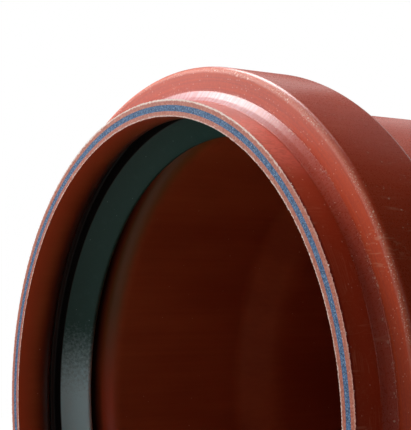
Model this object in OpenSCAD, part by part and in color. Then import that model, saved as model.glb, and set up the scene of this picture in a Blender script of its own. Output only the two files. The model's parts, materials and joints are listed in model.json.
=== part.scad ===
// Buried sewer pipe: a three-layer plastic pipe with a formed push-fit
// socket at one end, a rubber sealing ring in the socket's bead and a
// chamfered spigot at the other end. It lies on the floor, mouth towards -X.
//
// The wall is one outline, followed from the mouth to the spigot. Each layer
// lies between two depths below that outline, so the layers share their faces.

/* [Pipe] */
// Outside diameter of the barrel and the spigot
pipe_od = 160; // [110:1:315]
// Thickness of the whole wall
wall = 4.7; // [4:0.1:9]
// Thickness of the coloured layer outside
outer_skin = 1.6; // [0.8:0.1:1.9]
// Thickness of the coloured layer inside
inner_skin = 1.4; // [0.8:0.1:1.9]
// Laying length, from the stop in the socket to the end of the spigot
laying_length = 500; // [250:10:5000]

/* [Spigot] */
// Length of the chamfer that leads the spigot into the next socket
chamfer_length = 7; // [2:0.5:12]
// Angle between the chamfer and the pipe's axis
chamfer_angle = 15; // [10:1:25]

/* [Socket] */
// Gap all round between a spigot and the bore of the socket's lip
lip_gap = 0.4; // [0.1:0.05:2]
// Gap all round between a spigot and the bore behind the bead
body_gap = 1.4; // [0.3:0.05:2.5]
// Depth of the socket, from its mouth to the stop
socket_depth = 88; // [70:1:160]
// Length of the cone that narrows the socket to the barrel
stop_cone_length = 15; // [10:1:30]
// Radius that softens both ends of that cone
stop_blend = 18; // [5:1:25]

/* [Bead] */
// Length of the straight lip in front of the bead
lip_length = 9.9; // [8:0.1:20]
// Height of the bead above the lip
bead_height = 9.9; // [7:0.1:14]
// Length of the bead over its two crests
bead_length = 23; // [19:0.1:40]
// Angle of the bead's rear shoulder from the pipe's axis
rear_angle = 63; // [50:1:80]
// Radius of the fillet between the lip and the front shoulder
root_fillet = 3.3; // [1:0.1:5]
// Radius of the front crest
front_crest = 2; // [0.5:0.1:3]
// Radius of the rear crest
rear_crest = 2.6; // [0.5:0.1:4]
// Radius of the fillet between the rear shoulder and the socket's body
foot_fillet = 4; // [1:0.1:6]

/* [Sealing ring] */
// How far the free lip of the ring stands inside the bore of the socket's lip
lip_bite = 4; // [1:0.1:4.6]
// Angle of the slanting lip from the pipe's axis
lip_angle = 41; // [35:1:50]
// Thickness of the slanting lip
lip_thickness = 3; // [1.5:0.1:3.5]
// Radius of the lip's rounded tip
tip_round = 0.9; // [0.3:0.1:1.2]
// Radius of the ring's other edges
edge_round = 0.5; // [0.2:0.1:0.7]
// How far the ring's nose stays back from the bore of the socket's lip
nose_back = 2.6; // [1:0.1:3.5]
// How far the nose stands behind the front side of the groove
nose_setback = 2.1; // [1:0.1:3]
// Thickness of the ring's base on the groove's floor
base_thickness = 3.6; // [2:0.1:4.5]
// How far the heel at the back of the base stands in from it
heel_height = 1.7; // [0.5:0.1:2]
// Length of the heel
heel_length = 4.5; // [3:0.1:5]
// Gap between the base and each side of the groove
seal_gap = 0.4; // [0.1:0.05:1]

/* [Hidden] */
// Sides of a full turn, and segments in each rounded corner of the outline
$fn = 180;
corner_steps = 9;
// Smallest radius that is left where a corner is followed below the surface
least_round = 0.4;
// Angle about the axis at which a turn begins, off the line that meets the floor
turn_start = 3;

barrel_r = pipe_od / 2;
total_length = socket_depth + laying_length;
lip_r = barrel_r + lip_gap + wall;
body_r = barrel_r + body_gap + wall;
bead_r = lip_r + bead_height;
chamfer_drop = chamfer_length * tan(chamfer_angle);

// Corners of the wall's outside, each with its distance from the mouth, its
// radius from the axis and the radius that rounds it
rear_crest_s = lip_length + bead_length;
foot_s = rear_crest_s + (bead_r - body_r) / tan(rear_angle);
cone_slope = atan((body_r - barrel_r) / stop_cone_length);
// The stop is the start of the cone on the inside, a wall's depth below
cone_s = socket_depth + wall * tan(cone_slope / 2);
outline = [
    [0, lip_r, 0],
    [lip_length, lip_r, root_fillet],
    [lip_length, bead_r, front_crest],
    [rear_crest_s, bead_r, rear_crest],
    [foot_s, body_r, foot_fillet],
    [cone_s, body_r, stop_blend],
    [cone_s + stop_cone_length, barrel_r, stop_blend],
    [total_length, barrel_r, 0]
];

function unit(d) = d / norm(d);
// A direction along the outline, turned into the wall
function inward(u) = [u[1], -u[0]];

// Points of the arc that rounds a corner between directions u and v
function bend(corner, u, v, radius) =
    let (
        turn = atan2(u[0] * v[1] - u[1] * v[0], u * v),
        start = corner - u * radius * tan(abs(turn) / 2),
        centre = start - sign(turn) * radius * inward(u),
        spoke = start - centre
    )
    [
        for (k = [0 : corner_steps])
            let (c = cos(turn * k / corner_steps), s = sin(turn * k / corner_steps))
            centre + [spoke[0] * c - spoke[1] * s, spoke[0] * s + spoke[1] * c]
    ];

// Direction of the outline from corner i to the next
function run(i) =
    unit([outline[i + 1][0] - outline[i][0], outline[i + 1][1] - outline[i][1]]);

// Corner i of the outline, carried to a depth below the surface
function sunk_corner(i, depth) =
    let (
        before = inward(run(max(i - 1, 0))),
        after = inward(run(min(i, len(outline) - 2)))
    )
    [outline[i][0], outline[i][1]]
        + depth * (before + after) / (1 + before * after);

// The whole outline at a depth, from the mouth to the spigot. Below a hollow
// corner the radius grows with the depth, and below a crest it shrinks.
function sunk_outline(depth) =
    let (last = len(outline) - 1)
    [
        sunk_corner(0, depth),
        for (i = [1 : last - 1])
            let (hollow = run(i)[1] * run(i - 1)[0] > run(i)[0] * run(i - 1)[1])
            each bend(
                sunk_corner(i, depth), run(i - 1), run(i),
                max(outline[i][2] + (hollow ? depth : -depth), least_round)
            ),
        sunk_corner(last, depth)
    ];

// A closed outline of corners, each with the radius that rounds it
function rounded(corners) =
    let (n = len(corners), at = [for (c = corners) [c[0], c[1]]])
    [
        for (i = [0 : n - 1])
            each bend(
                at[i], unit(at[i] - at[(i + n - 1) % n]), unit(at[(i + 1) % n] - at[i]),
                corners[i][2]
            )
    ];

function backwards(points) = [for (i = [len(points) - 1 : -1 : 0]) points[i]];

// The profile's distance from the mouth becomes Z, and its radius becomes X
function upright(points) = [for (p = points) [p[1], p[0]]];

// The groove's floor and its two sides at that floor, where the ring sits
groove_r = bead_r - wall;
groove_front = sunk_corner(2, wall)[0];
groove_rear = sunk_corner(3, wall)[0];

// How it lies: the rear crest and the start of the chamfer touch the floor
crest_centre_s = rear_crest_s - rear_crest * tan(rear_angle / 2);
crest_centre_r = bead_r - rear_crest;
rest_s = total_length - chamfer_length;
rest_span = norm([rest_s - crest_centre_s, barrel_r - crest_centre_r]);
lean = atan2(crest_centre_r - barrel_r, rest_s - crest_centre_s)
    + asin(rear_crest / rest_span);
axis_height = barrel_r * cos(lean) + rest_s * sin(lean);
spigot_end_r = barrel_r - chamfer_drop;
low_x = -lip_r * sin(lean);
high_x = total_length * cos(lean) + spigot_end_r * sin(lean);

// Turns a profile about the pipe's axis and lays the pipe on the floor
module turned() {
    translate([-(low_x + high_x) / 2, 0, axis_height])
        rotate([0, 90 + lean, 0])
            rotate([0, 0, turn_start])
                rotate_extrude()
                    children();
}

// The wall between two depths below the outside
module wall_between(top, bottom) {
    turned()
        difference() {
            polygon(upright(concat(sunk_outline(top), backwards(sunk_outline(bottom)))));
            chamfer_waste();
        }
}

// What the chamfer takes off the spigot's end, in the profile
module chamfer_waste() {
    past = 1;
    slope = tan(chamfer_angle);
    polygon([
        [barrel_r, rest_s],
        [barrel_r + past, rest_s],
        [barrel_r + past, total_length + past],
        [spigot_end_r - past * slope, total_length + past]
    ]);
}

module outer_layer() {
    color([0.66, 0.27, 0.17])
        wall_between(0, outer_skin);
}

module core_layer() {
    color([0.5, 0.55, 0.65])
        wall_between(outer_skin, wall - inner_skin);
}

module inner_layer() {
    color([0.6, 0.22, 0.13])
        wall_between(wall - inner_skin, wall);
}

// The ring's base lies on the groove's floor. Its lip slants inwards and back
// from the nose, so that a spigot folds it into the hollow before the heel.
module sealing_ring() {
    lip_bore_r = barrel_r + lip_gap;
    front_s = groove_front + seal_gap;
    rear_s = groove_rear - seal_gap;
    base_r = groove_r - base_thickness;
    nose = [groove_front + nose_setback, lip_bore_r + nose_back];
    tip_r = lip_bore_r - lip_bite;
    tip = [nose[0] + (nose[1] - tip_r) / tan(lip_angle), tip_r];
    // The lip's back is parallel to its face
    back = tip + lip_thickness * [sin(lip_angle), cos(lip_angle)];
    root_s = back[0] - (base_r - back[1]) / tan(lip_angle);
    heel_s = rear_s - heel_length;
    heel_r = base_r - heel_height;
    tip_bend = min(tip_round, lip_thickness * 0.45);
    color([0.16, 0.2, 0.2])
        turned()
            polygon(upright(rounded([
                [front_s, groove_r, edge_round],
                [rear_s, groove_r, edge_round],
                [rear_s, heel_r, edge_round],
                [heel_s + heel_height, heel_r, edge_round],
                [heel_s, base_r, edge_round],
                [root_s, base_r, edge_round],
                [back[0], back[1], tip_bend],
                [tip[0], tip[1], tip_bend],
                [nose[0], nose[1], edge_round],
                [nose[0], base_r, edge_round],
                [front_s, base_r, edge_round]
            ])));
}

outer_layer();
core_layer();
inner_layer();
sealing_ring();
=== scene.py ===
"""Looks of a three-layer plastic sewer pipe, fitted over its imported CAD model.

Every piece is built in the pipe's own frame: X runs from the mouth along the
axis, Z is up and the origin is the middle of the mouth. The frame is read from
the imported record, so the pieces follow the CAD model where it stands or lies.
"""

import json
import math

import bpy
import numpy as np
from mathutils import Matrix, Vector


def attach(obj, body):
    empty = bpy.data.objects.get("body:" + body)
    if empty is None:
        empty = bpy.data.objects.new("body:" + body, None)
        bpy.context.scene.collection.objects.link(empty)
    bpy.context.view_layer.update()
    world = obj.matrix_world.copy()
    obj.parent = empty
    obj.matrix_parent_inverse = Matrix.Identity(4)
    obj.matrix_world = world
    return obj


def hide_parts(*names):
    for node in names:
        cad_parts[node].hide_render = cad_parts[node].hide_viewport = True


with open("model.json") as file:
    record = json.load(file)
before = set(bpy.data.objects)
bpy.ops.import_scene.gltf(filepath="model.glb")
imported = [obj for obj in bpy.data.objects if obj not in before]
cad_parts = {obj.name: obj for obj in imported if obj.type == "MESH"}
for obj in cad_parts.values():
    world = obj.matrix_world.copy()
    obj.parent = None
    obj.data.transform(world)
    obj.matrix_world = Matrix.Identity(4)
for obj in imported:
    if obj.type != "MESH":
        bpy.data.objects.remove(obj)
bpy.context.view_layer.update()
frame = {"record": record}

MM = 0.001

# The pipe's own frame, from the socket's mount
socket = next(m for m in frame["record"]["mounts"] if m["name"] == "socket")
AXIS = -Vector(socket["axis"]).normalized()
MOUTH = Vector(socket["pos_m"]) - AXIS * socket["dims"]["length_mm"] / 2 * MM
SIDE = Vector((0, 1, 0))
PIPE = Matrix((AXIS, SIDE, AXIS.cross(SIDE))).transposed().to_4x4()
PIPE.translation = MOUTH

# Sizes of the wall in millimetres, as in the CAD model
BARREL_R = 80.0
WALL = 4.7
OUTER_SKIN = 1.6
INNER_SKIN = 1.4
LAYING_LENGTH = 500.0
CHAMFER_LENGTH = 7.0
CHAMFER_SLOPE = math.tan(math.radians(15))
LIP_GAP = 0.4
BODY_GAP = 1.4
SOCKET_DEPTH = 88.0
CONE_LENGTH = 15.0
STOP_BLEND = 18.0
LIP_LENGTH = 9.9
BEAD_HEIGHT = 9.9
BEAD_LENGTH = 23.0
REAR_ANGLE = math.radians(63)
ROOT_FILLET = 3.3
FRONT_CREST = 2.0
REAR_CREST = 2.6
FOOT_FILLET = 4.0
LEAST_ROUND = 0.4

LIP_BORE_R = BARREL_R + LIP_GAP
LIP_R = LIP_BORE_R + WALL
BODY_R = BARREL_R + BODY_GAP + WALL
BEAD_R = LIP_R + BEAD_HEIGHT
TOTAL_LENGTH = SOCKET_DEPTH + LAYING_LENGTH
CHAMFER_START = TOTAL_LENGTH - CHAMFER_LENGTH
SPIGOT_END_R = BARREL_R - CHAMFER_LENGTH * CHAMFER_SLOPE

# Sizes of the sealing ring in millimetres
LIP_BITE = 4.0
LIP_ANGLE = math.radians(41)
LIP_THICKNESS = 3.0
TIP_ROUND = 0.9
NOSE_BACK = 2.6
NOSE_SETBACK = 2.1
BASE_THICKNESS = 3.6
HEEL_HEIGHT = 1.7
HEEL_LENGTH = 4.5
SEAL_GAP = 0.4
EDGE_ROUND = 0.5

# Vertices round one turn: of sawn edges, of visible walls and of hidden ones
EDGE_COUNT = 3072
WALL_COUNT = 512
HIDDEN_COUNT = 128
# Steps in a rounded corner: of visible walls, of hidden ones and of the ring
WALL_STEPS = 10
HIDDEN_STEPS = 3
SEAL_STEPS = 6
# Furthest that two rings of vertices stand apart on a visible wall and the ring
WALL_SPACING = 22.0
SEAL_SPACING = 1.6

# Faces that meet at a larger angle keep a sharp edge between them
SHARP_ANGLE = math.radians(40)

# The sawn mouth: how rough its face is, and in how many rings and waves a turn
SAW_DEPTH = 0.06
SAW_RINGS = 6
SAW_WAVES = (40, 700)
CORE_DEPTH = 1.2 * SAW_DEPTH
CORE_RINGS = 8
CORE_WAVES = (40, 800)
# The torn outer edge: its tears, its slow wander and how low it lies
TEAR_HEIGHT = 0.2
TEAR_WAVES = (60, 620)
WANDER_HEIGHT = 0.05
WANDER_WAVES = (3, 60)
OUTER_EDGE_DROP = 0.04
# The torn inner edge: its teeth, how uneven they are, and how far it overhangs
TEETH = 570
TEETH_HEIGHT = 0.3
TEETH_SHIFT = 0.9
TEETH_SHIFT_WAVES = (5, 90)
TEETH_SIZE = 0.6
TEETH_UNEVEN = 0.55
TEETH_UNEVEN_WAVES = (20, 260)
INNER_EDGE_OVERHANG = 0.1
# How far behind the face a torn edge is followed, and how fast it evens out
TEAR_BACKS = (0.12, 0.3, 0.7)
TEAR_FADE = 0.25
# How far behind the mouth the even walls and the hidden faces begin
WALL_START = 1.6
HIDDEN_START = 0.3

# Shavings on the sawn edges, and the share of them on the outer edge
FLAKES = 900
OUTER_SHARE = 0.72
# Their least length, mean extra length and greatest length
FLAKE_LENGTH = (0.12, 0.16, 0.6)
FLAKE_WIDTH = (0.08, 0.3)
FLAKE_DRIFT = 0.35
# How far a tip stands off the edge and lies back, in shares of the length
FLAKE_RISE = (0.25, 0.75)
FLAKE_LIE = (0.0, 0.5)
FLAKE_LEAST_LIE = 0.1
# A root's front and back behind the mouth, how deep it sits in the outer and
# the inner edge, and how much its back stands out
ROOT_FRONT = 0.04
ROOT_BACK = 0.16
OUTER_ROOT_DEPTH = 0.06
INNER_ROOT_DEPTH = 0.08
ROOT_STAND = 0.03

# Seeds of the random draws; each sawn face takes one more for each of its rings
TEAR_SEED = 160
WANDER_SEED = 161
OUTER_FACE_SEED = 162
CORE_FACE_SEED = 200
TEETH_SHIFT_SEED = 239
TEETH_UNEVEN_SEED = 240
INNER_FACE_SEED = 250
FLAKE_SEED = 360

# Places in the pipe's frame: the knock on the bead's front edge, the middle of
# the painted pool of light on the lip, and the middle of the painted highlight on the ring's
# lower side
KNOCK = (10.2, -82.6, 42.0)
LIP_LIGHT_AT = (4.0, -48.5, 70.0)
RING_HIGHLIGHT_AT = (18.0, 78.0, -13.0)
# Painted shade in front of the ring: its two ends as distances from the mouth,
# and how softly it ends
SHADE_BEFORE_RING = (11.0, 14.0, 6.5)
# Distances from the mouth where the olive band behind the ring begins, the radii
# it reaches with its softness, and the radii where painted shade replaces it
BEHIND_RING = (20.0, 24.0)
OLIVE_AND_HIGHLIGHT_R = (82.4, 84.0, 1.0)
GROOVE_SHADE_R = (83.8, 87.0)

# The photograph's viewpoint, in the pipe's frame
CAMERA_AT = Vector((-187.0, -299.4, 31.4)) * MM
CAMERA_TOWARDS = Vector((0.56498, 0.8227, 0.0626))
CAMERA_LENS = 107.3
CAMERA_SENSOR = 36.0
# Nothing nearer than this to the camera is drawn, in metres
CAMERA_NEAR = 0.01

# Name of the mesh attribute with each vertex's place in the pipe's frame
PIPE_MM = "pipe_mm"


# Profiles: lines of points (s, r), distance from the mouth and radius


def unit(v):
    return v / np.linalg.norm(v)


def inward(u):
    """A direction along the wall, turned into the wall."""
    return np.array([u[1], -u[0]])


def bend(corner, u, v, radius, steps):
    """Points of the arc that rounds a corner between directions u and v."""
    turn = math.atan2(u[0] * v[1] - u[1] * v[0], float(u @ v))
    start = corner - u * radius * math.tan(abs(turn) / 2)
    centre = start - math.copysign(1, turn) * radius * inward(u)
    spoke = start - centre
    angles = turn * np.arange(steps + 1) / steps
    c, s = np.cos(angles), np.sin(angles)
    return centre + np.stack(
        [spoke[0] * c - spoke[1] * s, spoke[0] * s + spoke[1] * c], axis=1
    )


REAR_CREST_S = LIP_LENGTH + BEAD_LENGTH
FOOT_S = REAR_CREST_S + (BEAD_R - BODY_R) / math.tan(REAR_ANGLE)
CONE_S = SOCKET_DEPTH + WALL * math.tan(
    math.atan((BODY_R - BARREL_R) / CONE_LENGTH) / 2
)
# Corners of the wall's outside: distance from the mouth, radius and rounding
OUTLINE = [
    (0.0, LIP_R, 0.0),
    (LIP_LENGTH, LIP_R, ROOT_FILLET),
    (LIP_LENGTH, BEAD_R, FRONT_CREST),
    (REAR_CREST_S, BEAD_R, REAR_CREST),
    (FOOT_S, BODY_R, FOOT_FILLET),
    (CONE_S, BODY_R, STOP_BLEND),
    (CONE_S + CONE_LENGTH, BARREL_R, STOP_BLEND),
    (TOTAL_LENGTH, BARREL_R, 0.0),
]
# The fillet at the bead's root as it really is: a narrow hollow cone
ROOT_CONE = [
    (LIP_LENGTH - 2.1, LIP_R, 0.5),
    (LIP_LENGTH - 1.05, LIP_R + 1.2, 4.0),
    (LIP_LENGTH, LIP_R + 3.0, 0.4),
]


def sunk_corner(outline, i, depth):
    """Corner i of an outline, carried to a depth below the surface."""
    at = np.array([corner[:2] for corner in outline])
    before = inward(unit(at[max(i, 1)] - at[max(i, 1) - 1]))
    last = len(at) - 2
    after = inward(unit(at[min(i, last) + 1] - at[min(i, last)]))
    return at[i] + depth * (before + after) / (1 + before @ after)


def wall_line(depth, steps, outline=OUTLINE):
    """The outline at a depth, from the mouth to the spigot."""
    at = np.array([corner[:2] for corner in outline])
    points = [sunk_corner(outline, 0, depth)[None]]
    for i in range(1, len(at) - 1):
        u, v = unit(at[i] - at[i - 1]), unit(at[i + 1] - at[i])
        hollow = v[1] * u[0] > v[0] * u[1]
        radius = max(outline[i][2] + (depth if hollow else -depth), LEAST_ROUND)
        points.append(bend(sunk_corner(outline, i, depth), u, v, radius, steps))
    points.append(sunk_corner(outline, len(at) - 1, depth)[None])
    return np.concatenate(points)


def hidden_line(depth):
    """The line at which two layers touch, from behind the mouth to the spigot."""
    line = wall_line(depth, HIDDEN_STEPS)
    line[0, 0] = HIDDEN_START
    return line


def core_outside():
    """The line under the outer layer, up to where the chamfer cuts it off."""
    line = hidden_line(OUTER_SKIN)
    line[-1, 0] = CHAMFER_START + OUTER_SKIN / CHAMFER_SLOPE
    return line


def rounded(corners, steps):
    """A closed outline of (s, r, rounding) corners, as points."""
    at = np.array(corners)[:, :2]
    n = len(at)
    arcs = []
    for i in range(n):
        u = unit(at[i] - at[i - 1])
        v = unit(at[(i + 1) % n] - at[i])
        arcs.append(bend(at[i], u, v, corners[i][2], steps))
    return np.concatenate(arcs)


def spaced(line, gap):
    """The line with extra points, so that none are further apart than gap."""
    out = [line[:1]]
    for a, b in zip(line[:-1], line[1:]):
        n = max(1, math.ceil(np.linalg.norm(b - a) / gap))
        out.append(a + (b - a) * (np.arange(1, n + 1) / n)[:, None])
    return np.concatenate(out)


# Meshes


def ragged(seed, waves, peak):
    """A random wander round one turn, with that range of waves, up to peak."""
    rng = np.random.default_rng(seed)
    spectrum = np.zeros(EDGE_COUNT // 2 + 1, complex)
    parts = np.arange(*waves)
    spectrum[parts] = rng.normal(size=len(parts)) + 1j * rng.normal(size=len(parts))
    wander = np.fft.irfft(spectrum, EDGE_COUNT)
    return peak * wander / np.abs(wander).max()


class Lathe:
    """Rings of vertices round the axis, joined in order into one mesh."""

    def __init__(self, name):
        self.name = name
        self.rings = []

    def ring(self, s, r, count, slot=0):
        """Adds a ring; slot is the material from this ring to the next."""
        s = np.broadcast_to(np.asarray(s, float), (count,))
        r = np.broadcast_to(np.asarray(r, float), (count,))
        self.rings.append((s, r, count, slot))

    def line(self, points, count):
        """Adds a ring for each point of a profile."""
        for s, r in points:
            self.ring(s, r, count)

    def sawn_face(self, radii, depth, waves, seed, slot=0):
        """Adds the rings of a sawn face; slot is the material between them."""
        last = len(radii) - 1
        for step, r in enumerate(radii):
            rough = depth + ragged(seed + step, waves, depth)
            self.ring(rough, r, EDGE_COUNT, slot if step < last else 0)

    def torn_wall(self, r, edge, backs):
        """Adds the rings behind a torn edge, over which it evens out."""
        for back in backs:
            uneven_r = r + edge * math.exp(-back / TEAR_FADE)
            self.ring(SAW_DEPTH + back, uneven_r, EDGE_COUNT)

    def build(self, materials):
        """Makes the mesh, closed from the last ring to the first."""
        verts, firsts = [], []
        total = 0
        for s, r, count, _ in self.rings:
            angle = math.pi + 2 * math.pi * np.arange(count) / count
            verts.append(np.stack([s, r * np.sin(angle), r * np.cos(angle)], axis=1))
            firsts.append(total)
            total += count
        faces, slots = [], []
        for i, (_, _, count, slot) in enumerate(self.rings):
            k = (i + 1) % len(self.rings)
            made = self.band(firsts[i], count, firsts[k], self.rings[k][2])
            faces += made
            slots += [slot] * len(made)
        return pipe_mesh(self.name, np.concatenate(verts), faces, slots, materials)

    @staticmethod
    def band(a, na, b, nb):
        """Faces between a ring of na vertices from a, and one of nb from b."""
        if na == nb:
            j = np.arange(na)
            k = (j + 1) % na
            return np.stack([a + j, b + j, b + k, a + k], axis=1).tolist()
        if na > nb:
            step = na // nb
            return [
                [a + (j * step + t) % na for t in range(step, -1, -1)]
                + [b + j, b + (j + 1) % nb]
                for j in range(nb)
            ]
        step = nb // na
        return [
            [a + (j + 1) % na, a + j]
            + [b + (j * step + t) % nb for t in range(step + 1)]
            for j in range(na)
        ]


def pipe_mesh(name, points, faces, slots, materials):
    """A mesh from points in the pipe's frame, in mm, laid where the pipe lies."""
    mesh = bpy.data.meshes.new(name)
    mesh.from_pydata(points.tolist(), [], faces)
    note = mesh.attributes.new(PIPE_MM, "FLOAT_VECTOR", "POINT")
    note.data.foreach_set("vector", points.ravel())
    mesh.transform(PIPE @ Matrix.Scale(MM, 4))
    mesh.polygons.foreach_set("material_index", slots)
    for material in materials:
        mesh.materials.append(material)
    mesh.shade_smooth()
    mesh.set_sharp_from_angle(angle=SHARP_ANGLE)
    mesh.update()
    return mesh


def place(name, mesh, nodes=()):
    """Puts a mesh in the scene and hangs it on the body."""
    obj = bpy.data.objects.new(name, mesh)
    bpy.context.scene.collection.objects.link(obj)
    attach(obj, "root")
    if nodes:
        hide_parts(*nodes)


# Materials


def rgb(r, g, b):
    """An sRGB colour of 0 to 255 as Blender's linear colour."""

    def linear(c):
        c /= 255
        return c / 12.92 if c <= 0.04045 else ((c + 0.055) / 1.055) ** 2.4

    return (linear(r), linear(g), linear(b), 1.0)


class Shader:
    """Short ways to add and link nodes of one material.

    p is the place in the pipe's frame in mm, s the distance from the mouth, z
    the height above the axis and r the radius. turned is the place with its
    radius made even, so that a pattern of it runs straight in and out as well
    as along the pipe.
    """

    def __init__(self, name):
        self.material = bpy.data.materials.new(name)
        self.material.use_nodes = True
        self.tree = self.material.node_tree
        self.tree.nodes.clear()
        output = self.tree.nodes.new("ShaderNodeOutputMaterial")
        self.surface = self.tree.nodes.new("ShaderNodeBsdfPrincipled")
        self.tree.links.new(self.surface.outputs[0], output.inputs["Surface"])
        coords = self.tree.nodes.new("ShaderNodeAttribute")
        coords.attribute_name = PIPE_MM
        self.p = coords.outputs["Vector"]
        parts = self.tree.nodes.new("ShaderNodeSeparateXYZ")
        self.tree.links.new(self.p, parts.inputs[0])
        self.s = parts.outputs[0]
        self.z = parts.outputs[2]
        across = self.vector("MULTIPLY", self.p, (0, 1, 1))
        self.r = self.vector("LENGTH", across)
        spoke = self.vector("NORMALIZE", across)
        spoke = self.vector("MULTIPLY", spoke, (0, LIP_R, LIP_R))
        along = self.vector("MULTIPLY", self.p, (1, 0, 0))
        self.turned = self.vector("ADD", spoke, along)

    def put(self, inlet, value):
        """Links a value to a node's inlet, or sets it there if it is a plain one."""
        if isinstance(value, bpy.types.NodeSocket):
            self.tree.links.new(value, inlet)
        else:
            inlet.default_value = value

    def vector(self, operation, a, b=None):
        """Vector maths of a and b; LENGTH gives a number."""
        node = self.tree.nodes.new("ShaderNodeVectorMath")
        node.operation = operation
        self.put(node.inputs[0], a)
        if b is not None:
            self.put(node.inputs[1], b)
        return node.outputs["Value" if operation == "LENGTH" else "Vector"]

    def away(self, spot):
        """How far it is from a spot in the pipe's frame."""
        return self.vector("LENGTH", self.vector("SUBTRACT", self.p, spot))

    def math(self, operation, a, b=0.0):
        node = self.tree.nodes.new("ShaderNodeMath")
        node.operation = operation
        self.put(node.inputs[0], a)
        self.put(node.inputs[1], b)
        return node.outputs[0]

    def times(self, a, b):
        return self.math("MULTIPLY", a, b)

    def plus(self, a, b):
        return self.math("ADD", a, b)

    def larger(self, a, b):
        return self.math("MAXIMUM", a, b)

    def ramp(self, value, low, high, to_low=0.0, to_high=1.0):
        """Maps a value from low..high to to_low..to_high, smoothly and clamped."""
        node = self.tree.nodes.new("ShaderNodeMapRange")
        node.interpolation_type = "SMOOTHSTEP"
        self.put(node.inputs["Value"], value)
        node.inputs["From Min"].default_value = low
        node.inputs["From Max"].default_value = high
        node.inputs["To Min"].default_value = to_low
        node.inputs["To Max"].default_value = to_high
        return node.outputs[0]

    def window(self, value, low, high, soft):
        """1 between low and high, falling to 0 over soft on both sides."""
        rise = self.ramp(value, low - soft, low)
        fall = self.ramp(value, high, high + soft, 1.0, 0.0)
        return self.times(rise, fall)

    def noise(self, waves, detail=2.0, roughness=0.5, shift=0.0, at=None):
        """Noise of a place, with that many waves a millimetre.

        waves is one number, or three for along X, Y and Z.
        """
        if isinstance(waves, float):
            waves = (waves, waves, waves)
        scaled = self.vector("MULTIPLY", at or self.p, waves)
        moved = self.vector("ADD", scaled, (shift, shift, shift))
        node = self.tree.nodes.new("ShaderNodeTexNoise")
        self.tree.links.new(moved, node.inputs["Vector"])
        node.inputs["Scale"].default_value = 1.0
        node.inputs["Detail"].default_value = detail
        node.inputs["Roughness"].default_value = roughness
        return node.outputs[0]

    def specks(self, cell, size, share):
        """Dots of up to size mm radius, at most one a cell, in that share of cells."""
        node = self.tree.nodes.new("ShaderNodeTexVoronoi")
        self.tree.links.new(self.p, node.inputs["Vector"])
        node.inputs["Scale"].default_value = 1 / cell
        pick = self.tree.nodes.new("ShaderNodeSeparateColor")
        self.tree.links.new(node.outputs["Color"], pick.inputs[0])
        reach = self.ramp(pick.outputs[0], 1 - share, 1.0, 0.0, size / cell)
        inside = self.math("SUBTRACT", reach, node.outputs["Distance"])
        return self.ramp(inside, 0.0, 0.3 * size / cell)

    def scratches(self, waves, width, shift, at=None):
        """Thin broken lines, long where the waves are few."""
        wander = self.noise(waves, detail=1.0, shift=shift, at=at)
        off = self.math("ABSOLUTE", self.math("SUBTRACT", wander, 0.5))
        line = self.ramp(off, 0.0, width, 1.0, 0.0)
        broken = self.noise(0.11, shift=shift + 5.0)
        return self.times(line, self.ramp(broken, 0.54, 0.62))

    def mix(self, factor, a, b):
        """Colour a where the factor is 0, and b where it is 1."""
        node = self.tree.nodes.new("ShaderNodeMix")
        node.data_type = "RGBA"
        self.put(node.inputs[0], factor)
        self.put(node.inputs[6], a)
        self.put(node.inputs[7], b)
        return node.outputs[2]

    def bump(self, height, depth):
        """A bump of that depth in millimetres."""
        node = self.tree.nodes.new("ShaderNodeBump")
        self.tree.links.new(height, node.inputs["Height"])
        node.inputs["Strength"].default_value = 1.0
        node.inputs["Distance"].default_value = depth * MM
        return node.outputs[0]

    def finish(self, colour, roughness, normal=None):
        """Sets what the surface shows, and gives the material."""
        self.put(self.surface.inputs["Base Color"], colour)
        self.put(self.surface.inputs["Roughness"], roughness)
        if normal is not None:
            self.put(self.surface.inputs["Normal"], normal)
        return self.material


PVC = rgb(195, 67, 32)
PVC_DEEP = rgb(181, 56, 24)
PVC_SCATTERED_EDGE = rgb(146, 26, 14)
PVC_FACE = rgb(214, 76, 18)
PVC_WORN = rgb(212, 124, 94)
PVC_TOOLED_HIGHLIGHT = rgb(222, 184, 194)
PVC_LIP_LIGHT = rgb(234, 112, 92)
PVC_CHIP = rgb(246, 208, 186)
PVC_BORE = rgb(186, 94, 52)
PVC_BORE_DEEP = rgb(166, 76, 40)
PVC_PAINTED_LIGHT = rgb(222, 96, 56)
PVC_OLIVE = rgb(146, 92, 44)
PVC_PAINTED_SHADE = rgb(40, 18, 14)
SAWN = rgb(202, 124, 102)
SAWN_DEEP = rgb(180, 96, 74)
SAWN_PALE = rgb(248, 228, 216)
SHAVING = rgb(224, 160, 138)
CORE = rgb(70, 115, 163)
CORE_PALE = rgb(144, 172, 200)
CORE_DARK = rgb(42, 72, 107)
RUBBER = rgb(34, 82, 76)
RUBBER_DUST = rgb(62, 104, 102)
TALC_AND_HIGHLIGHT = rgb(200, 240, 250)
RUBBER_BASE_SHADE = rgb(34, 30, 29)


def on_root_cone(n):
    """The hollow cone at the bead's root, most on its upper side, where its highlight is
    painted.
    """
    cone = n.window(n.s, LIP_LENGTH - 1.7, LIP_LENGTH, 0.4)
    cone = n.times(cone, n.ramp(n.r, LIP_R + 2.6, LIP_R + 3.2, 1.0, 0.0))
    return n.times(cone, n.ramp(n.z, 68.0, 90.0, 0.06, 1.0))


def on_bead_face(n):
    """The front of the bead, which stands across the pipe."""
    face = n.window(n.s, LIP_LENGTH - 0.1, LIP_LENGTH + 0.4, 0.3)
    return n.times(face, n.ramp(n.r, LIP_R + 3, LIP_R + 4))


def on_bead_edges(n):
    """The bead's front edge, and the corner at its foot."""
    front = n.window(n.s, LIP_LENGTH - 0.2, LIP_LENGTH + 0.6, 0.4)
    edge = n.times(front, n.ramp(n.r, BEAD_R - 2.2, BEAD_R - 1.2))
    foot = n.times(front, n.window(n.r, LIP_R + 2.4, LIP_R + 3.2, 0.5))
    return edge, foot


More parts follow.
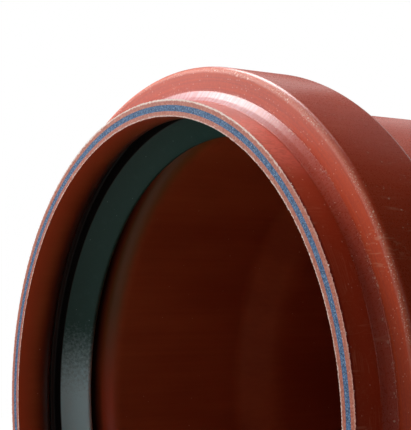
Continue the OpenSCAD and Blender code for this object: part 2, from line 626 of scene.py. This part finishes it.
def mould_rings(n, grit):
    """Faint rings that the mould left on the bead's face."""
    around = n.vector("MULTIPLY", n.turned, (0.05, 0.05, 0.05))
    out = n.vector("MULTIPLY", n.r, (1.3, 1.3, 1.3))
    rings = n.noise(1.0, detail=3.0, roughness=0.7, at=n.vector("ADD", around, out))
    mixed = n.plus(n.times(rings, 0.6), n.times(grit, 0.4))
    return n.ramp(mixed, 0.36, 0.64, 0.0, 0.75)


def painted_light_patch(n, lip):
    """A painted pool of light on the upper side of the lip, broken into fine strokes."""
    strokes = n.noise((0.5, 0.7, 1.6), detail=3.0, roughness=0.7, shift=25.0)
    patch = n.times(n.ramp(n.away(LIP_LIGHT_AT), 6.0, 19.0, 1.0, 0.0), lip)
    return n.times(patch, n.ramp(strokes, 0.35, 0.6, 0.5, 1.0))


def wear(n, lip, face):
    """Scuffs round the lip, long scratches anywhere and a knock on the bead."""
    scuffs = n.scratches((1.5, 0.05, 0.05), 0.035, 3.0, at=n.turned)
    long_ones = n.scratches((0.05, 0.22, 0.22), 0.006, 11.0)
    worn = n.plus(n.times(scuffs, n.times(lip, 0.7)), n.times(long_ones, 0.6))
    # The longest run along the pipe, so they stop at the bead's face
    drawn = n.scratches((0.02, 0.4, 0.4), 0.014, 17.0, at=n.turned)
    drawn = n.times(drawn, n.ramp(face, 0.0, 0.5, 0.5, 0.0))
    struck = n.noise((0.5, 0.25, 1.7), detail=1.0, shift=21.0)
    knock = n.ramp(n.away(KNOCK), 2.5, 7.0, 1.0, 0.0)
    knock = n.times(knock, n.ramp(struck, 0.56, 0.64))
    return n.larger(n.larger(worn, drawn), n.times(knock, 0.7))


def chips(n, edge, foot, crumbs):
    """Chips along the bead's front edge, and fewer at its foot."""
    uneven = n.noise(0.16, detail=3.0, roughness=0.6, shift=4.0)
    uneven = n.ramp(uneven, 0.44, 0.58, 0.04, 1.0)
    where = n.times(n.plus(edge, n.times(foot, 0.6)), uneven)
    broken = n.larger(n.specks(1.4, 0.48, 0.55), n.ramp(crumbs, 0.57, 0.64))
    return n.times(where, broken)


def outer_plastic():
    """The outside: smooth from the die, scuffed on the lip and the bead's edges."""
    n = Shader("outer_plastic")
    lip = n.window(n.s, -1.0, LIP_LENGTH - 3.0, 1.0)
    cone = on_root_cone(n)
    face = on_bead_face(n)
    edge, foot = on_bead_edges(n)

    # Clouds and streaks of colour, with paler grit
    cloud = n.noise(0.03)
    along = n.noise((0.02, 1.1, 1.1), detail=3.0, roughness=0.6)
    grit = n.noise(1.2, detail=4.0, roughness=0.85)
    tone = n.plus(n.times(along, 0.1), n.times(cloud, 0.9))
    colour = n.mix(n.ramp(tone, 0.3, 0.7), PVC_DEEP, PVC)
    colour = n.mix(n.ramp(grit, 0.48, 0.72, 0.0, 0.28), colour, PVC_WORN)

    # Tool marks that run up the cone to the bead, in a pale colour that also paints
    # the cone's highlight on its upper side
    marks = n.noise((0.06, 1.5, 1.5), detail=1.0, at=n.turned)
    marked_and_lit = n.times(n.ramp(marks, 0.42, 0.62, 0.5, 0.8), cone)
    colour = n.mix(marked_and_lit, colour, PVC_TOOLED_HIGHLIGHT)

    # The edge beside the saw cut is a deeper red, painted light scattered in through
    # the cut, and the bead's face fresher
    scattered_edge = n.window(n.s, -1.0, 0.35, 0.7)
    colour = n.mix(n.times(scattered_edge, 0.75), colour, PVC_SCATTERED_EDGE)
    colour = n.mix(n.times(face, mould_rings(n, grit)), colour, PVC_FACE)

    # Painted light: the lip is paler where light falls on its upper side
    colour = n.mix(painted_light_patch(n, lip), colour, PVC_LIP_LIGHT)
    worn = wear(n, lip, face)
    colour = n.mix(worn, colour, PVC_WORN)

    # The bead's front edge is worn pale, with chips in it and dust all over
    crumbs = n.noise(2.4, detail=3.0, roughness=0.7, shift=8.0)
    rubbed_edge = n.times(edge, n.ramp(crumbs, 0.35, 0.6, 0.1, 0.5))
    colour = n.mix(rubbed_edge, colour, PVC_WORN)
    chipped = chips(n, edge, foot, crumbs)
    dust = n.larger(n.specks(1.0, 0.2, 0.35), n.specks(2.4, 0.33, 0.8))
    colour = n.mix(n.larger(chipped, n.times(dust, 0.5)), colour, PVC_CHIP)

    # The bead's face and edge are dull; the rest keeps the die's gloss
    fine = n.noise(2.6)
    streaky = n.plus(n.times(fine, 0.7), n.times(along, 0.3))
    roughness = n.ramp(streaky, 0.3, 0.7, 0.25, 0.33)
    roughness = n.plus(roughness, n.times(face, 0.12))
    roughness = n.plus(roughness, n.times(n.plus(cone, lip), 0.04))
    roughness = n.plus(roughness, n.times(edge, 0.12))

    height = n.plus(n.times(along, 0.03), n.times(n.plus(fine, grit), 0.1))
    height = n.plus(height, n.times(marks, n.times(cone, 0.5)))
    height = n.plus(height, n.times(chipped, 0.8))
    height = n.plus(height, n.times(worn, -0.3))
    return n.finish(colour, roughness, n.bump(height, 0.035))


def inner_plastic():
    """The bore: drawn smooth along the pipe, a little duller and browner."""
    n = Shader("inner_plastic")
    cloud = n.noise((0.02, 0.05, 0.05), detail=3.0)
    fine = n.noise(2.4)
    along = n.noise((0.012, 0.7, 0.7), detail=3.0)
    tone = n.plus(n.times(along, 0.25), n.times(cloud, 0.75))
    colour = n.mix(n.ramp(tone, 0.3, 0.7), PVC_BORE_DEEP, PVC_BORE)
    # Painted light: the bore is brighter near the sawn mouth, as if lit through the cut
    colour = n.mix(n.ramp(n.s, 0.0, 7.0, 1.0, 0.0), colour, PVC_PAINTED_LIGHT)
    # Painted shade darkens the bore in front of the ring
    painted_shade = n.times(n.window(n.s, *SHADE_BEFORE_RING), 0.85)
    colour = n.mix(painted_shade, colour, PVC_PAINTED_SHADE)
    dust = n.specks(1.8, 0.24, 0.2)
    colour = n.mix(n.times(dust, 0.5), colour, PVC_CHIP)
    # Behind the ring the bore turns olive above and paler below, the paler part a
    # painted highlight; further out in the groove painted shade darkens it
    olive_and_highlight = n.mix(n.ramp(n.z, 30.0, -10.0), PVC_OLIVE, PVC_PAINTED_LIGHT)
    olive_and_highlight_mask = n.times(n.ramp(n.s, *BEHIND_RING), n.window(n.r, *OLIVE_AND_HIGHLIGHT_R))
    colour = n.mix(olive_and_highlight_mask, colour, olive_and_highlight)
    colour = n.mix(n.ramp(n.r, *GROOVE_SHADE_R), colour, PVC_PAINTED_SHADE)
    roughness = n.ramp(fine, 0.3, 0.7, 0.30, 0.42)
    height = n.plus(n.times(along, 0.2), n.times(fine, 0.3))
    return n.finish(colour, roughness, n.bump(height, 0.03))


def sawn_skin(name, edge_r, width, high_rim, low_rim):
    """The coloured layers where the saw cut them: paler, dull and torn.

    The rim at edge_r is torn over about that width, and how pale it is there
    goes from high_rim on the upper side of the mouth to low_rim further down;
    on the outer edge its paler upper side is a painted highlight.
    """
    n = Shader(name)
    fibres = n.noise(1.5, detail=4.0, roughness=0.7)
    strokes = n.noise((0.5, 0.5, 2.6), shift=2.0)
    off_edge = n.math("ABSOLUTE", n.math("SUBTRACT", n.r, edge_r))
    tears = n.noise(0.8, detail=5.0, roughness=0.8, shift=6.0)
    torn = n.plus(off_edge, n.times(tears, 1.6))
    pale_and_lit_rim = n.ramp(torn, width + 0.6, width + 0.95, 1.0, 0.0)
    # Painted highlight: the rim's paleness follows the height round the mouth
    pale_and_lit_rim = n.times(pale_and_lit_rim, n.ramp(n.z, 52.0, 72.0, low_rim, high_rim))
    colour = n.mix(n.ramp(fibres, 0.38, 0.62), SAWN, SAWN_DEEP)
    colour = n.mix(pale_and_lit_rim, colour, SAWN_PALE)
    flecks = n.specks(0.6, 0.2, 0.3)
    colour = n.mix(n.times(flecks, 0.5), colour, SAWN_PALE)
    height = n.plus(n.times(fibres, 0.6), n.times(strokes, 0.4))
    return n.finish(colour, 0.42, n.bump(height, 0.12))


def core_plastic():
    """The blue middle layer, which the saw leaves dull and speckled."""
    n = Shader("core_plastic")
    fibres = n.noise(1.3, detail=4.0, roughness=0.7)
    cells = n.noise(2.6, shift=7.0)
    colour = n.mix(n.ramp(fibres, 0.4, 0.62), CORE, CORE_DARK)
    colour = n.mix(n.times(n.ramp(cells, 0.52, 0.66), 0.8), colour, CORE_PALE)
    height = n.plus(n.times(fibres, 0.6), n.times(cells, 0.4))
    return n.finish(colour, 0.68, n.bump(height, 0.16))


def ring_rubber():
    """Matt rubber; the base in the groove is painted nearly black, as shade."""
    n = Shader("ring_rubber")
    cloud = n.noise(0.3, detail=5.0, roughness=0.7)
    grain = n.noise(3.2)
    colour = n.mix(n.ramp(cloud, 0.5, 0.8, 0.0, 0.4), RUBBER, RUBBER_DUST)
    # A pale patch on the ring's lower side is a painted highlight; specks of talc powder lie
    # all over
    patches = n.noise(1.1, detail=4.0, roughness=0.75, shift=3.0)
    ring_highlight = n.plus(n.away(RING_HIGHLIGHT_AT), n.times(patches, 24.0))
    colour = n.mix(n.ramp(ring_highlight, 48.0, 22.0), colour, TALC_AND_HIGHLIGHT)
    powder = n.specks(1.2, 0.2, 0.3)
    colour = n.mix(n.times(powder, 0.3), colour, TALC_AND_HIGHLIGHT)
    nose_r = LIP_BORE_R + NOSE_BACK
    # Painted shade: the base beyond the ring's nose is nearly black
    colour = n.mix(n.ramp(n.r, nose_r - 0.3, nose_r), colour, RUBBER_BASE_SHADE)
    roughness = n.ramp(grain, 0.3, 0.7, 0.38, 0.5)
    return n.finish(colour, roughness, n.bump(grain, 0.03))


def burr_plastic():
    """Shavings that hang on the sawn edges, white where they were stretched."""
    n = Shader("burr_plastic")
    tone = n.noise(0.8, detail=1.0)
    colour = n.mix(n.ramp(tone, 0.35, 0.65), SAWN_PALE, SHAVING)
    return n.finish(colour, 0.5)


# Pieces


def outer_layer():
    """The coloured skin outside, from its sawn and torn edge to the chamfer."""
    skin, sawn = outer_plastic(), sawn_skin("outer_sawn", LIP_R, 0.45, 1.0, 0.2)
    tear = ragged(TEAR_SEED, TEAR_WAVES, 1.0)
    wander = ragged(WANDER_SEED, WANDER_WAVES, WANDER_HEIGHT)
    edge = TEAR_HEIGHT * np.clip(tear, -1, 0.5) - wander - OUTER_EDGE_DROP
    radii = list(np.linspace(LIP_R - OUTER_SKIN, LIP_R, SAW_RINGS))
    radii[-1] = LIP_R + edge
    outside = wall_line(0, WALL_STEPS, OUTLINE[:1] + ROOT_CONE + OUTLINE[2:])
    outside[0, 0] = WALL_START
    outside[-1, 0] = CHAMFER_START
    hidden = core_outside()

    lathe = Lathe("outer_layer")
    lathe.sawn_face(radii, SAW_DEPTH, SAW_WAVES, OUTER_FACE_SEED, slot=1)
    lathe.torn_wall(LIP_R, edge, TEAR_BACKS)
    lathe.line(spaced(outside, WALL_SPACING)[:-1], WALL_COUNT)
    lathe.ring(*outside[-1], WALL_COUNT, 1)
    lathe.ring(*hidden[-1], WALL_COUNT)
    lathe.line(hidden[-2::-1], HIDDEN_COUNT)
    mesh = lathe.build([skin, sawn])
    place("outer_layer_skin", mesh, ["outer_layer"])


def core_layer():
    """The blue band, with its sawn face at the mouth and its cut end."""
    top, bottom = LIP_R - OUTER_SKIN, LIP_BORE_R + INNER_SKIN
    radii = np.linspace(bottom, top, CORE_RINGS)
    outside, inside = core_outside(), hidden_line(WALL - INNER_SKIN)

    lathe = Lathe("core_layer")
    lathe.sawn_face(radii, CORE_DEPTH, CORE_WAVES, CORE_FACE_SEED)
    lathe.line(outside[:-1], HIDDEN_COUNT)
    lathe.ring(*outside[-1], WALL_COUNT)
    lathe.ring(TOTAL_LENGTH, SPIGOT_END_R, WALL_COUNT)
    lathe.ring(*inside[-1], WALL_COUNT)
    lathe.line(inside[-2::-1], HIDDEN_COUNT)
    mesh = lathe.build([core_plastic()])
    place("core_layer_band", mesh, ["core_layer"])


def teeth():
    """Torn teeth round the inner sawn edge, from 0 to 1, one at each saw stroke."""
    turn = np.arange(EDGE_COUNT) / EDGE_COUNT
    shift = ragged(TEETH_SHIFT_SEED, TEETH_SHIFT_WAVES, TEETH_SHIFT)
    saw = np.abs((TEETH * turn + shift) % 1.0 * 2 - 1)
    size = TEETH_SIZE + ragged(TEETH_UNEVEN_SEED, TEETH_UNEVEN_WAVES, TEETH_UNEVEN)
    return np.clip(saw * size, 0, 1)


def inner_layer():
    """The coloured skin inside, from the cut spigot to its sawn and torn edge."""
    skin = inner_plastic()
    sawn = sawn_skin("inner_sawn", LIP_BORE_R, 0.25, 0.7, 0.85)
    edge = TEETH_HEIGHT * teeth() - INNER_EDGE_OVERHANG
    radii = list(np.linspace(LIP_BORE_R, LIP_BORE_R + INNER_SKIN, SAW_RINGS))
    radii[0] = LIP_BORE_R + edge
    outside = hidden_line(WALL - INNER_SKIN)
    bore = wall_line(WALL, WALL_STEPS)
    bore[0, 0] = WALL_START

    lathe = Lathe("inner_layer")
    lathe.line(outside[:-1], HIDDEN_COUNT)
    lathe.ring(*outside[-1], WALL_COUNT, 1)
    lathe.line(spaced(bore, WALL_SPACING)[::-1], WALL_COUNT)
    lathe.torn_wall(LIP_BORE_R, edge, TEAR_BACKS[::-1])
    lathe.sawn_face(radii, SAW_DEPTH, SAW_WAVES, INNER_FACE_SEED, slot=1)
    mesh = lathe.build([skin, sawn])
    place("inner_layer_skin", mesh, ["inner_layer"])


def sealing_ring():
    """The rubber ring: a base in the groove, and a lip that slants inwards."""
    groove_r = BEAD_R - WALL
    groove_front = sunk_corner(OUTLINE, 2, WALL)[0]
    groove_rear = sunk_corner(OUTLINE, 3, WALL)[0]
    front_s, rear_s = groove_front + SEAL_GAP, groove_rear - SEAL_GAP
    base_r = groove_r - BASE_THICKNESS
    nose = np.array([groove_front + NOSE_SETBACK, LIP_BORE_R + NOSE_BACK])
    tip_r = LIP_BORE_R - LIP_BITE
    tip = np.array([nose[0] + (nose[1] - tip_r) / math.tan(LIP_ANGLE), tip_r])
    back = tip + LIP_THICKNESS * np.array([math.sin(LIP_ANGLE), math.cos(LIP_ANGLE)])
    root_s = back[0] - (base_r - back[1]) / math.tan(LIP_ANGLE)
    heel_s, heel_r = rear_s - HEEL_LENGTH, base_r - HEEL_HEIGHT
    corners = [
        (front_s, groove_r, EDGE_ROUND),
        (rear_s, groove_r, EDGE_ROUND),
        (rear_s, heel_r, EDGE_ROUND),
        (heel_s + HEEL_HEIGHT, heel_r, EDGE_ROUND),
        (heel_s, base_r, EDGE_ROUND),
        (root_s, base_r, EDGE_ROUND),
        (back[0], back[1], TIP_ROUND),
        (tip[0], tip[1], TIP_ROUND),
        (nose[0], nose[1], EDGE_ROUND),
        (nose[0], base_r, EDGE_ROUND),
        (front_s, base_r, EDGE_ROUND),
    ]
    line = rounded(corners, SEAL_STEPS)
    closed = np.concatenate([line, line[:1]])

    lathe = Lathe("sealing_ring")
    lathe.line(spaced(closed, SEAL_SPACING)[:-1], WALL_COUNT)
    mesh = lathe.build([ring_rubber()])
    place("sealing_ring_lip", mesh, ["sealing_ring"])


def mouth_burrs():
    """Shavings on the outer and inner edges of the sawn mouth."""
    rng = np.random.default_rng(FLAKE_SEED)
    least, mean_extra, most = FLAKE_LENGTH
    points, faces = [], []

    def corner(s, r, angle):
        points.append((s, r * math.sin(angle), r * math.cos(angle)))

    for _ in range(FLAKES):
        outer = rng.random() < OUTER_SHARE
        edge_r = LIP_R - OUTER_ROOT_DEPTH if outer else LIP_BORE_R + INNER_ROOT_DEPTH
        out = 1 if outer else -1
        angle = rng.random() * 2 * math.pi
        length = min(least + rng.exponential(mean_extra), most)
        half = rng.uniform(*FLAKE_WIDTH) / edge_r
        drift = rng.normal(0, FLAKE_DRIFT) / edge_r
        rise = out * length * rng.uniform(*FLAKE_RISE)
        lie = FLAKE_LEAST_LIE + length * rng.uniform(*FLAKE_LIE)
        first = len(points)
        corner(ROOT_FRONT, edge_r, angle - half)
        corner(ROOT_FRONT, edge_r, angle + half)
        corner(ROOT_BACK, edge_r + out * ROOT_STAND, angle)
        corner(lie, edge_r + rise, angle + drift)
        faces += [
            (first, first + 1, first + 3),
            (first + 1, first + 2, first + 3),
            (first + 2, first, first + 3),
            (first, first + 2, first + 1),
        ]
    slots = [0] * len(faces)
    mesh = pipe_mesh("mouth_burrs", np.array(points), faces, slots, [burr_plastic()])
    place("mouth_burrs", mesh)


# Studio

# The floor as the camera sees it, and as it throws light back on the pipe
FLOOR_SEEN = rgb(240, 240, 240)
FLOOR_LIT = rgb(120, 118, 114)
# Half the floor's width, and the distances over which it fades to white
FLOOR_REACH = 8.0
FLOOR_FADE = (0.45, 0.85)
# White of the backdrop, and the colour of the light from all round
WHITE = (1.0, 1.0, 1.0, 1.0)
# Level of the light that comes from all round
WORLD_FILL = 0.015
# How far the soft lamps stand from the mouth and how wide they are, in metres
LAMP_DISTANCE = 1.2
LAMP_SIZE = 0.5
# Soft lamps: name, direction from the mouth and watts
SOFTBOXES = [
    ("key", (-0.44, 0.61, 0.66), 12.0),
    ("ceiling_far", (0.2, 0.42, 0.88), 8.6),
    ("ceiling_near", (-0.2, 0.42, 0.88), 2.8),
    ("low_back", (-0.46, 0.8, 0.37), 2.7),
    ("overhead", (0.07, 0.0, 1.0), 1.5),
    ("mouth", (-0.97, 0.2, 0.08), 1.9),
    ("far_back", (0.44, 0.61, 0.66), 0.6),
    ("far_top", (0.72, 0.23, 0.66), 0.2),
    ("far_end", (0.8, 0.46, 0.37), 0.48),
    ("front", (-0.46, -0.8, 0.37), 0.5),
]


def softbox(name, direction, watts):
    """A square area lamp, aimed at the mouth from a direction in the pipe's frame."""
    data = bpy.data.lights.new(name, "AREA")
    data.size = LAMP_SIZE
    data.energy = watts
    lamp = bpy.data.objects.new(name, data)
    bpy.context.scene.collection.objects.link(lamp)
    at = PIPE @ (Vector(direction).normalized() * LAMP_DISTANCE)
    aim = (PIPE.translation - at).to_track_quat("-Z", "Y")
    lamp.matrix_world = Matrix.Translation(at) @ aim.to_matrix().to_4x4()


def world_light():
    """White behind the pipe for the camera, and a low even light for the rest."""
    world = bpy.data.worlds.new("studio")
    bpy.context.scene.world = world
    world.use_nodes = True
    nodes, links = world.node_tree.nodes, world.node_tree.links
    nodes.clear()
    output = nodes.new("ShaderNodeOutputWorld")
    mix = nodes.new("ShaderNodeMixShader")
    path = nodes.new("ShaderNodeLightPath")
    white = nodes.new("ShaderNodeBackground")
    fill = nodes.new("ShaderNodeBackground")
    white.inputs["Color"].default_value = WHITE
    fill.inputs["Color"].default_value = WHITE
    fill.inputs["Strength"].default_value = WORLD_FILL
    links.new(path.outputs["Is Camera Ray"], mix.inputs[0])
    links.new(fill.outputs[0], mix.inputs[1])
    links.new(white.outputs[0], mix.inputs[2])
    links.new(mix.outputs[0], output.inputs["Surface"])


def floor_paint():
    """Pale near the pipe and white further off for the camera, grey to the light."""
    material = bpy.data.materials.new("floor")
    material.use_nodes = True
    nodes, links = material.node_tree.nodes, material.node_tree.links
    nodes.clear()
    output = nodes.new("ShaderNodeOutputMaterial")
    seen = nodes.new("ShaderNodeMixShader")
    fade = nodes.new("ShaderNodeMixShader")
    path = nodes.new("ShaderNodeLightPath")
    pale = nodes.new("ShaderNodeBsdfDiffuse")
    grey = nodes.new("ShaderNodeBsdfDiffuse")
    white = nodes.new("ShaderNodeEmission")
    coords = nodes.new("ShaderNodeTexCoord")
    length = nodes.new("ShaderNodeVectorMath")
    far = nodes.new("ShaderNodeMapRange")
    length.operation = "LENGTH"
    pale.inputs["Color"].default_value = FLOOR_SEEN
    grey.inputs["Color"].default_value = FLOOR_LIT
    white.inputs["Strength"].default_value = 1.0
    far.inputs["From Min"].default_value = FLOOR_FADE[0]
    far.inputs["From Max"].default_value = FLOOR_FADE[1]
    links.new(coords.outputs["Object"], length.inputs[0])
    links.new(length.outputs["Value"], far.inputs["Value"])
    links.new(far.outputs[0], fade.inputs[0])
    links.new(pale.outputs[0], fade.inputs[1])
    links.new(white.outputs[0], fade.inputs[2])
    links.new(path.outputs["Is Camera Ray"], seen.inputs[0])
    links.new(grey.outputs[0], seen.inputs[1])
    links.new(fade.outputs[0], seen.inputs[2])
    links.new(seen.outputs[0], output.inputs["Surface"])
    return material


def floor():
    """A level floor under the pipe."""
    corners = [
        (x * FLOOR_REACH, y * FLOOR_REACH, 0) for x, y in ((-1, -1), (1, -1), (1, 1), (-1, 1))
    ]
    mesh = bpy.data.meshes.new("floor")
    mesh.from_pydata(corners, [], [(0, 1, 2, 3)])
    mesh.materials.append(floor_paint())
    obj = bpy.data.objects.new("floor", mesh)
    bpy.context.scene.collection.objects.link(obj)


def camera():
    """The photograph's camera, with the pipe's Z upwards in the picture."""
    data = bpy.data.cameras.new("camera")
    data.lens = CAMERA_LENS
    data.sensor_width = CAMERA_SENSOR
    data.clip_start = CAMERA_NEAR
    obj = bpy.data.objects.new("camera", data)
    bpy.context.scene.collection.objects.link(obj)
    back = -CAMERA_TOWARDS.normalized()
    right = Vector((0, 0, 1)).cross(back).normalized()
    up = back.cross(right)
    turn = Matrix((right, up, back)).transposed().to_4x4()
    obj.matrix_world = PIPE @ Matrix.Translation(CAMERA_AT) @ turn
    bpy.context.scene.camera = obj


outer_layer()
core_layer()
inner_layer()
sealing_ring()
mouth_burrs()

floor()
world_light()
for name, direction, watts in SOFTBOXES:
    softbox(name, direction, watts)
camera()
bpy.context.scene.view_settings.view_transform = "Standard"
